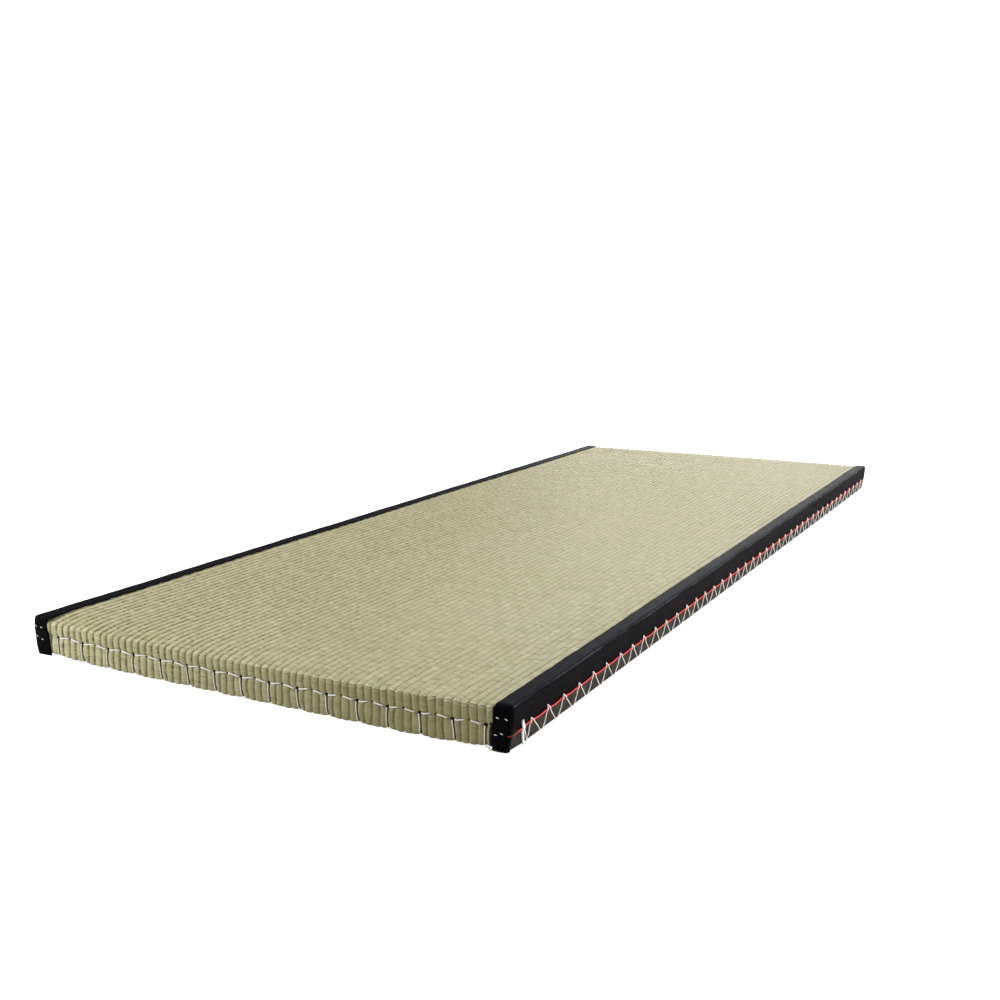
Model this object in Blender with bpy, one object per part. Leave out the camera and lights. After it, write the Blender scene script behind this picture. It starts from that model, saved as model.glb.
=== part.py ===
"""A tatami mat, lying flat.

A thick slab wears a cover of woven rush. The ribs of the weave run the long way and turn down over both short
ends, where a row of knots pulls them in. A black cloth binding is sewn along each long side: over the top edge,
down the side, and folded over both ends as a cap. Below the binding a narrow dark strip closes the side.

Metres, +Z up. X is the width, Y the length, and the origin is the middle of the underside.
"""

import math

import bmesh
import bpy
import numpy as np

# The whole mat
LENGTH = 2.000
WIDTH = 0.800
HEIGHT = 0.060
SIDE_TAPER = 0.0055  # how far each long side leans in on its way down to the underside
GAP = 0.0003  # between neighbouring pieces

# The black cloth binding, folded double
BINDING_THICK = 0.0020
BINDING_WIDTH = 0.0255  # on the top and on the end caps
BINDING_FOOT = 0.0020  # height of the lower edge of the end caps
BINDING_HEM = 0.0242  # height of the lower edge along the side
EDGE_ROUND = 0.0040  # outer radius of the binding's folds
ROUND_STEPS = 3

# The dark strip below the binding
STRIP_THICK = 0.0012
CAP_RETURN = 0.0050  # how far the end caps reach round onto the side

# The rush cover
RIB_COUNT = 64
RIB_PITCH = 0.0120
RIB_DEPTH = 0.0015
FIRST_GROOVE = -0.3855  # the first and the last rib run partly under the bindings
WEAVE_DRIFT = 0.0110  # how far the weave leans to the right, most a little left of the middle
RUSH_TOP = HEIGHT - BINDING_THICK - GAP
RUSH_END = LENGTH / 2 - BINDING_THICK - GAP
RUSH_HALF = WIDTH / 2 - BINDING_WIDTH
# One rib across: how far along its pitch, and how deep below its crest as a share of RIB_DEPTH
RIB_SECTION = ((0.00, 1.00), (0.16, 0.22), (0.50, 0.00), (0.84, 0.22))

# The knots on the end faces
FIRST_KNOT = 2  # the groove of the leftmost knot
RIBS_PER_KNOT = 4
KNOT_HEIGHT = 0.0295
SEAM_PINCH = 0.0014  # how deep the thread presses in between the knots
KNOT_PINCH = 0.0026  # how much deeper at a knot
KNOT_SPREAD = 0.0075  # half the width of the dimple round a knot

# The underside lies flat in the middle and rises a little towards the long sides
FLAT_HALF = 0.300
EDGE_RISE = 0.0026

# The end face from the underside up to the top: how far in from the end, height, share of the rib's depth,
# share of the pinch, and which way the face looks there, in degrees above level
END_ROWS = (
    (0.0060, 0.0000, 0.0, 0.0, -90),
    (0.0016, 0.0017, 0.6, 0.0, -40),
    (0.0002, 0.0085, 1.0, 0.0, 0),
    (0.0000, 0.0215, 1.0, 0.2, 0),
    (0.0004, KNOT_HEIGHT, 1.0, 1.0, 0),
    (0.0000, 0.0370, 1.0, 0.2, 0),
    (0.0003, 0.0470, 1.0, 0.0, 0),
    (0.0021, 0.0543, 1.0, 0.0, 40),
    (0.0068, RUSH_TOP, 1.0, 0.0, 90),
)

# Colours as seen, red, green and blue out of 255
RUSH_COLOUR = (196, 189, 148)
BINDING_COLOUR = (20, 20, 24)
STRIP_COLOUR = (56, 51, 46)


def clear_scene():
    for old in list(bpy.data.objects):
        bpy.data.objects.remove(old)


def linear(channel):
    """One colour channel out of 255 as the light that it stands for."""
    share = channel / 255
    if share <= 0.04045:
        return share / 12.92
    return ((share + 0.055) / 1.055) ** 2.4


def cloth_material(name, colour, roughness):
    material = bpy.data.materials.new(name)
    material.use_nodes = True
    shader = material.node_tree.nodes["Principled BSDF"]
    shader.inputs["Base Color"].default_value = [linear(channel) for channel in colour] + [1.0]
    shader.inputs["Roughness"].default_value = roughness
    shader.inputs["Metallic"].default_value = 0.0
    return material


def add_object(name, mesh, material):
    mesh.materials.append(material)
    obj = bpy.data.objects.new(name, mesh)
    bpy.context.scene.collection.objects.link(obj)
    return obj


def side_reach(height, inset=0.0):
    """How far from the middle a long side stands at this height: the two sides lean in towards the underside."""
    return WIDTH / 2 - SIDE_TAPER * (1 - height / HEIGHT) - inset


def weave_place(ribs):
    """How far across the mat a place lies that is counted in ribs from the first groove. The ribs on the left are a
    little wider than those on the right."""
    turn = math.pi * ribs / RIB_COUNT
    return FIRST_GROOVE + ribs * RIB_PITCH + WEAVE_DRIFT * np.sin(turn) * (1 + 0.5 * np.cos(turn))


def rib_columns():
    """The columns of the cover from left to right: their places across, and how deep each lies below a crest.
    Two columns stand exactly at the inner edges of the bindings, and two at the edges of the flat underside."""
    parts, deeps = np.array(RIB_SECTION).T
    across = weave_place((np.arange(RIB_COUNT)[:, None] + parts).ravel())
    depths = np.tile(deeps, RIB_COUNT)
    edges = np.array([-RUSH_HALF, -FLAT_HALF, FLAT_HALF, RUSH_HALF])
    edge_depths = np.interp(edges, across, depths)
    apart = np.abs(across[:, None] - edges[None, :]).min(axis=1) > 3 * GAP
    shown = apart & (np.abs(across) < RUSH_HALF)
    across = np.concatenate([across[shown], edges])
    depths = np.concatenate([depths[shown], edge_depths])
    order = np.argsort(across)
    return across[order], depths[order]


def knot_places():
    """The knots stand in the grooves, every few ribs."""
    return weave_place(np.arange(FIRST_KNOT, RIB_COUNT, RIBS_PER_KNOT))


def pinch(across):
    """How deep the end seam presses in: a shallow groove all along, with a round dimple at each knot."""
    away = np.abs(across[:, None] - knot_places()[None, :]).min(axis=1)
    return SEAM_PINCH + KNOT_PINCH * np.exp(-((away / KNOT_SPREAD) ** 2))


def underside_rise(across):
    """Flat in the middle, then a rise towards each long side that starts steep and levels out."""
    share = np.clip((np.abs(across) - FLAT_HALF) / (WIDTH / 2 - FLAT_HALF), 0, 1)
    return EDGE_RISE * np.sin(share * math.pi / 2)


def section_ring(across, depth, inset=0.0, drop=0.0):
    """The cover's long section at each column, as points x, y, z.

    The rows climb the near end, cross the top and go down the far end. Each row stands at its own inset and height,
    pushed back against its outward direction by the rib's depth, and inwards by the pinch of the seam. inset and drop
    pull the ends in and the top down, for the column that rounds off the long side.
    """
    rows = []
    for y_side, table in ((-1, END_ROWS), (1, END_ROWS[::-1])):
        for row_inset, height, rib_share, pinch_share, angle in table:
            direction = math.radians(angle)
            pushed = RIB_DEPTH * rib_share * depth
            back = row_inset + pushed * math.cos(direction) + pinch_share * pinch(across) + inset
            low = height < EDGE_ROUND
            z = height - pushed * math.sin(direction) + (underside_rise(across) if low else 0 * across)
            z = np.minimum(z, RUSH_TOP - drop)
            rows.append(np.stack([across, y_side * (RUSH_END - back), z], axis=-1))
    return np.stack(rows, axis=1)


def rush_body(material):
    """The slab in its rush cover: rows of points round the long section, repeated column by column across the mat."""
    across, depth = rib_columns()
    ribs = section_ring(across, depth)
    # Plain cover under the bindings: a shoulder on the top, then the leaning side
    body_inset = BINDING_THICK + GAP
    body_round = EDGE_ROUND - BINDING_THICK
    shoulder_at = WIDTH / 2 - body_inset - body_round
    outer = []
    for sign in (-1, 1):
        shoulder = section_ring(np.array([sign * shoulder_at]), np.zeros(1))
        side = section_ring(np.array([sign * WIDTH / 2]), np.zeros(1), body_round, body_round)
        side[:, :, 0] = sign * side_reach(side[:, :, 2], body_inset)
        reach = np.minimum(np.abs(shoulder[:, :, 0]), np.abs(side[:, :, 0]) - body_round)
        shoulder[:, :, 0] = sign * reach
        outer.append((shoulder, side))
    (left_shoulder, left_side), (right_shoulder, right_side) = outer
    points = np.concatenate([left_side, left_shoulder, ribs, right_shoulder, right_side])
    columns, rows = points.shape[:2]
    index = np.arange(columns * rows).reshape(columns, rows)
    after = np.roll(index, -1, axis=1)
    quads = np.stack([index[:-1], index[1:], after[1:], after[:-1]], axis=-1).reshape(-1, 4)
    faces = quads.tolist()
    faces.append(index[0].tolist())
    faces.append(index[-1][::-1].tolist())
    mesh = bpy.data.meshes.new("rush_body")
    mesh.from_pydata(points.reshape(-1, 3).tolist(), [], faces)
    mesh.update()
    return add_object("rush_body", mesh, material)


def side_block(name, sign, inner, low, high, half_length, inset, radius):
    """A bar along one long side with a leaning outer face; its outer, top and end folds rounded to the radius."""
    bm = bmesh.new()
    corners = {}
    for y in (-half_length, half_length):
        for z in (low, high):
            corners[y, z, "in"] = bm.verts.new((sign * inner, y, z))
            corners[y, z, "out"] = bm.verts.new((sign * side_reach(z, inset), y, z))
    near, far = -half_length, half_length
    loops = (
        ((near, low, "in"), (near, low, "out"), (near, high, "out"), (near, high, "in")),
        ((far, low, "in"), (far, high, "in"), (far, high, "out"), (far, low, "out")),
        ((near, low, "in"), (far, low, "in"), (far, low, "out"), (near, low, "out")),
        ((near, high, "in"), (near, high, "out"), (far, high, "out"), (far, high, "in")),
        ((near, low, "in"), (near, high, "in"), (far, high, "in"), (far, low, "in")),
        ((near, low, "out"), (far, low, "out"), (far, high, "out"), (near, high, "out")),
    )
    for loop in loops:
        bm.faces.new([corners[key] for key in loop])
    if radius:
        place = {vert: key for key, vert in corners.items()}
        folds = [edge for edge in bm.edges if is_fold([place[vert] for vert in edge.verts], high)]
        bmesh.ops.bevel(
            bm, geom=folds, offset=radius, offset_type="OFFSET", segments=ROUND_STEPS, profile=0.5, affect="EDGES"
        )
    bmesh.ops.recalc_face_normals(bm, faces=bm.faces[:])
    mesh = bpy.data.meshes.new(name)
    bm.to_mesh(mesh)
    bm.free()
    return mesh


def is_fold(ends, high):
    """The cloth folds along the outer top edge, down the outer corners, and across the top of each end."""
    (y_a, z_a, x_a), (y_b, z_b, x_b) = ends
    along_top = x_a == x_b == "out" and z_a == z_b == high
    down_corner = x_a == x_b == "out" and y_a == y_b
    across_end = y_a == y_b and z_a == z_b == high
    return along_top or down_corner or across_end


def cut_away(obj, name, mesh):
    """Cuts a hidden block out of the object."""
    cutter = bpy.data.objects.new(name, mesh)
    bpy.context.scene.collection.objects.link(cutter)
    cutter.hide_render = True
    cutter.display_type = "WIRE"
    cut = obj.modifiers.new(name, "BOOLEAN")
    cut.operation = "DIFFERENCE"
    cut.object = cutter


def binding(side, sign, material):
    """The cloth along one long side, open underneath and towards the middle: a rounded bar, hollowed by a smaller one,
    with the lower part of its side cut away between the end caps."""
    clearance = 0.010
    inner = WIDTH / 2 - BINDING_WIDTH
    name = f"binding_{side}"
    mesh = side_block(name, sign, inner, BINDING_FOOT, HEIGHT, LENGTH / 2, 0.0, EDGE_ROUND)
    cloth = add_object(name, mesh, material)
    window = side_block(
        f"window_{side}", sign, inner - clearance, -clearance, BINDING_HEM, LENGTH / 2 - CAP_RETURN, -clearance, 0.0
    )
    cut_away(cloth, f"window_{side}", window)
    hollow = side_block(
        f"hollow_{side}",
        sign,
        inner - 2 * clearance,
        -2 * clearance,
        HEIGHT - BINDING_THICK,
        LENGTH / 2 - BINDING_THICK,
        BINDING_THICK,
        EDGE_ROUND - BINDING_THICK,
    )
    cut_away(cloth, f"hollow_{side}", hollow)
    return cloth


def side_strip(side, sign, material):
    """The dark strip between the binding's hem and the underside: a thin sheet that leans with the side."""
    name = f"side_strip_{side}"
    inset = BINDING_THICK - STRIP_THICK
    low = BINDING_FOOT
    high = BINDING_HEM - GAP
    half_length = LENGTH / 2 - CAP_RETURN - GAP
    outer = [(y, z, side_reach(z, inset)) for y, z in ((-half_length, low), (half_length, low))]
    outer += [(y, z, side_reach(z, inset)) for y, z in ((half_length, high), (-half_length, high))]
    bm = bmesh.new()
    face = bm.faces.new([bm.verts.new((sign * x, y, z)) for y, z, x in outer])
    back = bmesh.ops.extrude_face_region(bm, geom=[face])
    moved = [item for item in back["geom"] if isinstance(item, bmesh.types.BMVert)]
    bmesh.ops.translate(bm, verts=moved, vec=(-sign * STRIP_THICK, 0, 0))
    bmesh.ops.recalc_face_normals(bm, faces=bm.faces[:])
    mesh = bpy.data.meshes.new(name)
    bm.to_mesh(mesh)
    bm.free()
    return add_object(name, mesh, material)


def main():
    clear_scene()
    rush = cloth_material("woven_rush", RUSH_COLOUR, 0.6)
    rush_body(rush)
    for side, sign in (("left", -1), ("right", 1)):
        binding(side, sign, cloth_material(f"binding_cloth_{side}", BINDING_COLOUR, 0.85))
        side_strip(side, sign, cloth_material(f"side_backing_{side}", STRIP_COLOUR, 0.9))


main()
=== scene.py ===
"""The looks of a tatami mat: a ribbed rush cover, black cloth bindings, and the sewing that holds them.

Metres, in the CAD model's frame: X across the mat, Y along it, +Z up, the origin in the middle of the
underside.
"""

import math

import bpy
import numpy as np
from mathutils import Matrix, Vector

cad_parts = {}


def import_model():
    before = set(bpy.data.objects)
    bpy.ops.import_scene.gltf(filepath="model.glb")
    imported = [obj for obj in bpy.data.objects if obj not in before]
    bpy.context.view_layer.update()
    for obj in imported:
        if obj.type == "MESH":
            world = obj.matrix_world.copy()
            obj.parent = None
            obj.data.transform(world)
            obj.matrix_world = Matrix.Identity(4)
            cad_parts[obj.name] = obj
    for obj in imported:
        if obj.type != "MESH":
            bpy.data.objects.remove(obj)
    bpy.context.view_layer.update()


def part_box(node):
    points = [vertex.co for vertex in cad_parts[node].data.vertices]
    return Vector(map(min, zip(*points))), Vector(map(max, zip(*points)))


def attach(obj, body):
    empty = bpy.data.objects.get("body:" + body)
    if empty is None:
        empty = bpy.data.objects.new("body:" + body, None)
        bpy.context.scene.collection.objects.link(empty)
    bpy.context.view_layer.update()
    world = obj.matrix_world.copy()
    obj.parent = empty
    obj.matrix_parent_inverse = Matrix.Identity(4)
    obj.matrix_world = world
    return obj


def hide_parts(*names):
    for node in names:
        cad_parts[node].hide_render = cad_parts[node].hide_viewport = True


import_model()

# The mat, read from its CAD solids
rush_low, rush_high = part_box("rush_body")
binding_low, binding_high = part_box("binding_right")
strip_low, strip_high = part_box("side_strip_right")
HALF_WIDTH = 0.400  # at the level of the top; the sides lean in below it
SIDE_TAPER = 0.0055
HALF_LENGTH = binding_high.y
HEIGHT = binding_high.z
RUSH_TOP = rush_high.z
RUSH_END = rush_high.y
INNER_EDGE = binding_low.x  # the bindings' edges towards the middle
RIB_HALF = INNER_EDGE + 0.0050  # the ribs run a little way under the bindings
HEM_HEIGHT = strip_high.z + 0.0003
CAP_FOOT = binding_low.z
CLOTH_THICK = 0.0020
FOLD_ROUND = 0.0070  # radius of the binding's folds
EDGE_TURN = 0.0022  # width of the cloth that turns in along the binding's edges
EDGE_CURL = 0.0009  # how deep it turns in
SCALLOP_PITCH = 0.0265  # from one stitch to the next along the binding's inner edge
LOWEST = 0.0003  # the caps end this far above the ground
STRIP_THICK = 0.0009

# The section of the rush cover
FOOT_ROUND = 0.0035
TOP_ROUND = 0.0062
FOLD_HEIGHT = RUSH_TOP - TOP_ROUND * 0.6  # where the top fold begins
END_DROP = 0.0050  # the sewing draws the top down at the near end, less towards the right
EDGE_RISE = 0.0026  # the underside lies flat in the middle and rises a little towards the long sides
FLAT_HALF = 0.300
TOP_ROWS = 84

# The weave: the ribs are counted from the left, and the outer ones run partly under the bindings
RIB_COUNT = 64
RIB_PITCH = 0.0120
RIB_DEPTH = 0.0020
FIRST_GROOVE = -0.3838
WEAVE_DRIFT = 0.0110
GROOVE_SWAY = np.random.default_rng(3).normal(0, 0.0004, RIB_COUNT + 1)  # ribs are not all of one width
STEM = 0.0013  # one rush stem, lying across the ribs
BLOCK = 0.0115  # stretches of a rib that share a tone
TUFT = 0.0052  # shorter ones that catch the light

# The knots on the end faces
FIRST_KNOT = 2
RIBS_PER_KNOT = 4
KNOT_RIBS = np.arange(FIRST_KNOT, RIB_COUNT, RIBS_PER_KNOT)
KNOT_HEIGHT = 0.0295
CHAIN_RISE = 0.0028  # how much higher the chain lies between two knots
DROP_ASIDE = -0.0014  # the threads that drop from the knots lie on the left slope of their grooves
SLIT_RIB = 63  # the groove beside the right cap of the near end stands open
SLIT_RISE = 0.0050  # from the underside up to this much above the knots

# How deep the end sewing presses in
LINE_DEPTH = 0.0020  # all along
DIMPLE_DEPTH = 0.0014  # round each knot
HOLE_DEPTH = 0.0012  # at the knot itself
FURROW_DEPTH = 0.0006  # beside the thread below a knot
SLIT_DEPTH = 0.0065
BULGE = 0.0007  # the rush swells out this much above and below the sewing

# The sewing
STITCH_PITCH = 0.0463
STITCH_COUNT = 42
FIRST_STITCH = -0.9503
THREAD = 0.00072  # radius of the sewing thread
CHAIN_THREAD = 0.00092  # radius of the thread between the knots
CORD = 0.00095  # radius of the red cord

END_BOW = 0.0080  # the ends stand out this much in the middle, between the caps
BOW_LEAN = 0.72  # the ribs lean to the right with the bow, so that the knots stay where the photo shows them

SIGNS = {"left": -1, "right": 1}
# How far each side stands out: all along, near its ends at half the height, and there at the foot
SIDES_OUT = {"left": (0.0025, 0.0056, 0.0006), "right": (0.0, 0.0, -0.0022)}
# How sharp the corners of the caps are, from 0 for the fold's own round to 1: at the top and at the foot
SHARPNESS = {"left": (0.42, 0.62), "right": (0.0, 0.35)}

# The photograph's camera: where it stands, which way its axes point, and its focal length in pixels
FRAME_PIXELS = 1000
SENSOR = 36.0
FOCAL_PIXELS = 1177.7
EYE = Vector((1.00247, -2.15164, 0.55460))
LOOK_RIGHT = Vector((0.88039, 0.47424, -0.00004))
LOOK_DOWN = Vector((0.08932, -0.16589, -0.98209))
LOOK_AHEAD = Vector((-0.46576, 0.86462, -0.18841))


# Numbers that vary softly

def soft_noise(rng, rows, columns, row_cells, column_cells):
    """Random heights from -1 to 1: a coarse random grid, blended with smooth steps to rows x columns."""
    coarse = rng.uniform(-1, 1, (row_cells + 1, column_cells + 1))

    def weights(count, cells):
        place = np.linspace(0, cells, count)
        low = np.minimum(place.astype(int), cells - 1)
        share = place - low
        return low, share * share * (3 - 2 * share)

    row_at, row_share = weights(rows, row_cells)
    column_at, column_share = weights(columns, column_cells)
    left = coarse[:, column_at] * (1 - column_share) + coarse[:, column_at + 1] * column_share
    return left[row_at] * (1 - row_share[:, None]) + left[row_at + 1] * row_share[:, None]


def smooth_step(low, high, value):
    share = np.clip((value - low) / (high - low), 0, 1)
    return share * share * (3 - 2 * share)


def bell(centre, width, value):
    """1 at the centre, falling to a third at the width."""
    return np.exp(-(((value - centre) / width) ** 2))


# Meshes from arrays

def xyz(x, y, z):
    """Points from their three parts, which may be single numbers or narrower arrays."""
    return np.stack(np.broadcast_arrays(x, y, z), axis=-1)


def mesh_piece(name, points, quads, material, flat_map=None, extra_faces=()):
    """A smooth mesh from points and quads; flat_map gives each point its place on the weave."""
    mesh = bpy.data.meshes.new(name)
    faces = quads.tolist() + [list(face) for face in extra_faces]
    mesh.from_pydata(points.reshape(-1, 3).tolist(), [], faces)
    mesh.update()
    mesh.shade_smooth()
    if flat_map is not None:
        corner_points = np.empty(len(mesh.loops), np.int32)
        mesh.loops.foreach_get("vertex_index", corner_points)
        layer = mesh.uv_layers.new(name="weave")
        layer.data.foreach_set("uv", flat_map.reshape(-1, 2)[corner_points].astype(np.float32).ravel())
    mesh.materials.append(material)
    obj = bpy.data.objects.new(name, mesh)
    bpy.context.scene.collection.objects.link(obj)
    return obj


def grid_quads(rows, columns, wrap_rows=False, wrap_columns=False, start=0):
    """The quads of a grid of points numbered row by row; a wrapped side joins its last line to its
    first."""
    index = start + np.arange(rows * columns).reshape(rows, columns)
    if wrap_rows:
        index = np.concatenate([index, index[:1]])
    if wrap_columns:
        index = np.concatenate([index, index[:, :1]], axis=1)
    return np.stack([index[:-1, :-1], index[:-1, 1:], index[1:, 1:], index[1:, :-1]], axis=-1).reshape(-1, 4)


def thicken(piece, name, thickness, even=False):
    """Gives a sheet its thickness, inwards from its outer face."""
    wall = piece.modifiers.new(name, "SOLIDIFY")
    wall.thickness = thickness
    wall.offset = -1.0
    wall.use_even_offset = even


def tubes(name, paths, radii, material, sides=6):
    """Round threads, all in one mesh.

    paths is threads x points x 3. Each ring is a circle round its point, square to the line between its
    neighbours, and the ends are closed by a point. radii is one number, or one for each point.
    """
    radii = np.broadcast_to(radii, paths.shape[:2])
    ahead = np.gradient(paths, axis=1)
    ahead /= np.linalg.norm(ahead, axis=2, keepdims=True)
    helper = np.where(np.abs(ahead[..., 2:]) < 0.9, [0.0, 0.0, 1.0], [1.0, 0.0, 0.0])
    across = np.cross(ahead, helper)
    across /= np.linalg.norm(across, axis=2, keepdims=True)
    over = np.cross(ahead, across)
    turn = 2 * np.pi * np.arange(sides) / sides
    circle = across[:, :, None] * np.cos(turn)[:, None] + over[:, :, None] * np.sin(turn)[:, None]
    threads, steps = paths.shape[:2]
    rings = (paths[:, :, None] + circle * radii[:, :, None, None]).reshape(threads, -1, 3)
    points = np.concatenate([rings, paths[:, :1], paths[:, -1:]], axis=1)
    one = grid_quads(steps, sides, wrap_columns=True)
    first = np.arange(sides)
    last = first + (steps - 1) * sides
    near = np.stack([np.full(sides, steps * sides), np.roll(first, -1), first], axis=-1)
    far = np.stack([np.full(sides, steps * sides + 1), last, np.roll(last, -1)], axis=-1)
    starts = (np.arange(threads) * points.shape[1])[:, None, None]
    quads = (one[None] + starts).reshape(-1, 4)
    tips = (np.concatenate([near, far])[None] + starts).reshape(-1, 3)
    return mesh_piece(name, points, quads, material, extra_faces=tips.tolist())


# Materials

class Finish:
    """A new Principled material with short calls to add and join nodes."""

    def __init__(self, name, roughness, specular):
        self.material = bpy.data.materials.new(name)
        self.material.use_nodes = True
        self.tree = self.material.node_tree
        self.shader = self.tree.nodes["Principled BSDF"]
        self.shader.inputs["Roughness"].default_value = roughness
        self.shader.inputs["Specular IOR Level"].default_value = specular

    def node(self, kind, inputs=None, **settings):
        made = self.tree.nodes.new(kind)
        for key, value in settings.items():
            setattr(made, key, value)
        for key, value in (inputs or {}).items():
            self.feed(made.inputs[key], value)
        return made

    def feed(self, into, value):
        if isinstance(value, bpy.types.NodeSocket):
            self.tree.links.new(value, into)
        else:
            into.default_value = value

    def math(self, operation, *values):
        made = self.node("ShaderNodeMath", operation=operation)
        for into, value in zip(made.inputs, values):
            self.feed(into, value)
        return made.outputs[0]

    def add(self, first, second):
        return self.math("ADD", first, second)

    def less(self, first, second):
        return self.math("SUBTRACT", first, second)

    def over(self, first, second):
        return self.math("DIVIDE", first, second)

    def apart(self, first, second):
        """How far apart two numbers are."""
        return self.math("ABSOLUTE", self.less(first, second))

    def times(self, *values):
        product = values[0]
        for value in values[1:]:
            product = self.math("MULTIPLY", product, value)
        return product

    def mix(self, share, first, second):
        made = self.node("ShaderNodeMix", data_type="RGBA")
        self.feed(made.inputs[0], share)
        self.feed(made.inputs[6], first)
        self.feed(made.inputs[7], second)
        return made.outputs[2]

    def range(self, value, low, high, to_low=0.0, to_high=1.0):
        """A smooth step from to_low, where the value is low, to to_high."""
        made = self.node("ShaderNodeMapRange", {"Value": value}, interpolation_type="SMOOTHSTEP")
        for key, number in (("From Min", low), ("From Max", high), ("To Min", to_low), ("To Max", to_high)):
            made.inputs[key].default_value = number
        return made.outputs["Result"]

    def point(self, x, y, z=0.0):
        return self.node("ShaderNodeCombineXYZ", {"X": x, "Y": y, "Z": z}).outputs[0]

    def cells(self, x, y, salt):
        """A random number from 0 to 1 for each whole step of x and y."""
        place = self.point(self.math("FLOOR", x), self.math("FLOOR", y), salt)
        return self.node("ShaderNodeTexWhiteNoise", {"Vector": place}).outputs["Value"]

    def noise(self, place, scale, detail=2.0):
        inputs = {"Vector": place, "Scale": scale, "Detail": detail}
        return self.node("ShaderNodeTexNoise", inputs).outputs["Fac"]

    def bump(self, height, strength, distance, below=None):
        made = self.node("ShaderNodeBump", {"Height": height, "Strength": strength, "Distance": distance})
        if below is not None:
            self.tree.links.new(below, made.inputs["Normal"])
        return made.outputs[0]

    def parts(self, vector):
        return self.node("ShaderNodeSeparateXYZ", {"Vector": vector}).outputs

    def place(self):
        return self.node("ShaderNodeTexCoord").outputs["Object"]

    def done(self, colour, roughness=None, normal=None):
        self.feed(self.shader.inputs["Base Color"], colour)
        if roughness is not None:
            self.feed(self.shader.inputs["Roughness"], roughness)
        if normal is not None:
            self.tree.links.new(normal, self.shader.inputs["Normal"])
        return self.material


def seen(red, green, blue):
    """A colour as seen, out of 255, as the light that it stands for."""
    share = np.array([red, green, blue]) / 255
    light = np.where(share <= 0.04045, share / 12.92, ((share + 0.055) / 1.055) ** 2.4)
    return (*light.tolist(), 1.0)


def rush_finish():
    """Woven rush. Stems lie across each rib, every other one on top, so their tones run in broken
    dashes. u of the weave map counts ribs, and v runs along them in metres."""
    rush = Finish("woven_rush", roughness=0.5, specular=0.22)
    u, v, _ = rush.parts(rush.node("ShaderNodeUVMap", uv_map="weave").outputs[0])
    # Which of two neighbouring stems shows alternates from rib to rib
    odd = rush.math("MODULO", rush.math("FLOOR", u), 2.0)
    shown = rush.add(rush.over(v, 2 * STEM), rush.times(odd, 0.5))
    through = rush.cells(0.0, shown, 3.0)
    own = rush.cells(u, shown, 7.0)
    block = rush.cells(u, rush.add(rush.over(v, BLOCK), rush.cells(u, 0.0, 11.0)), 1.0)
    tuft = rush.cells(u, rush.add(rush.over(v, TUFT), rush.cells(u, 0.0, 13.0)), 17.0)
    wide = rush.point(rush.times(u, RIB_PITCH), v)
    smudge = rush.noise(wide, 22.0, 3.0)
    colour = rush.mix(rush.range(rush.noise(wide, 4.0), 0.35, 0.65), seen(181, 176, 138), seen(189, 182, 147))
    # What each tone follows, from where to where it comes in, how strong it gets, and the tone
    for follows, low, high, most, tone in (
        (v, 0.3, 1.8, 0.35, (196, 186, 134)),
        (smudge, 0.35, 0.75, 0.45, (174, 174, 132)),
        (through, 0.0, 1.0, 0.30, (206, 200, 166)),
        (block, 0.4, 1.0, 0.30, (164, 159, 117)),
        (tuft, 0.70, 0.95, 0.34, (212, 206, 174)),
        (own, 0.86, 0.98, 0.50, (218, 212, 180)),
        (own, 0.12, 0.02, 0.45, (142, 130, 92)),
    ):
        colour = rush.mix(rush.range(follows, low, high, 0.0, most), colour, seen(*tone))
    colour = rush_groove_shade(rush, colour, u, v)

    # The lines between the stems, clearer on the end faces
    stem_share = rush.math("FRACT", shown)
    gap = rush.range(rush.apart(stem_share, 0.5), 0.32, 0.50)
    uneven = rush.range(rush.cells(u, rush.add(shown, 0.5), 23.0), 0.0, 1.0, 0.25, 1.0)
    on_end = rush_at_ends(rush, v, length_at(FOLD_HEIGHT), 0.004, 0.002)
    strength = rush.add(0.30, rush.times(on_end, 0.40))
    colour = rush.mix(rush.times(gap, uneven, strength), colour, seen(108, 100, 62))

    # Painted shade: the ends turn darker and browner towards the right
    right_end_shade = rush.times(on_end, rush.range(u, -10.0, 62.0, 0.0, 0.68))
    colour = rush.mix(right_end_shade, colour, seen(122, 114, 72))
    for marks in (rush_fold_cracks_and_highlights, rush_knot_hole_shade, rush_furrows):
        colour = marks(rush, colour, u, v)
    rounded = rush.math("SINE", rush.times(stem_share, math.pi))
    normal = rush.bump(rush.add(rounded, rush.times(own, 0.7)), 0.45, 0.0006)
    normal = rush.bump(rush.noise(wide, 260.0), 0.2, 0.0008, normal)
    return rush.done(colour, rush.range(through, 0.0, 1.0, 0.45, 0.60), normal)


def rush_groove_shade(rush, colour, u, v):
    """The painted shade in the grooves, broken into dashes where stems dive under, with a few deeper spots of
    painted shade. It is strongest towards the left and the far end."""
    next_groove = rush.math("FLOOR", rush.add(u, 0.5))
    from_groove = rush.less(0.5, rush.apart(rush.math("FRACT", u), 0.5))
    short = rush.cells(next_groove, rush.over(v, 2 * STEM), 19.0)
    long = rush.noise(rush.point(rush.times(next_groove, 3.7), rush.times(v, 75.0)), 1.0)
    dive = rush.add(rush.range(short, 0.1, 0.9, 0.25, 0.70), rush.range(long, 0.38, 0.64, -0.10, 0.30))
    # How strong the painted groove shade is: more towards the left and the far end
    groove_shade_reach = rush.math("MAXIMUM", rush.range(u, 6.0, 54.0, 1.0, 0.40), rush.range(v, 0.7, 1.5, 0.0, 0.85))
    groove_share = rush.over(from_groove, rush.range(u, 6.0, 54.0, 0.32, 0.17))
    groove = rush.times(rush.range(groove_share, 1.0, 0.1), dive, groove_shade_reach)
    colour = rush.mix(groove, colour, seen(104, 97, 60))
    # A few near-dark spots of painted shade deep in the grooves
    deep = rush.times(rush.range(short, 0.93, 0.97), rush.range(from_groove, 0.16, 0.08), groove_shade_reach, 0.75)
    return rush.mix(deep, colour, seen(78, 70, 42))


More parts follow.
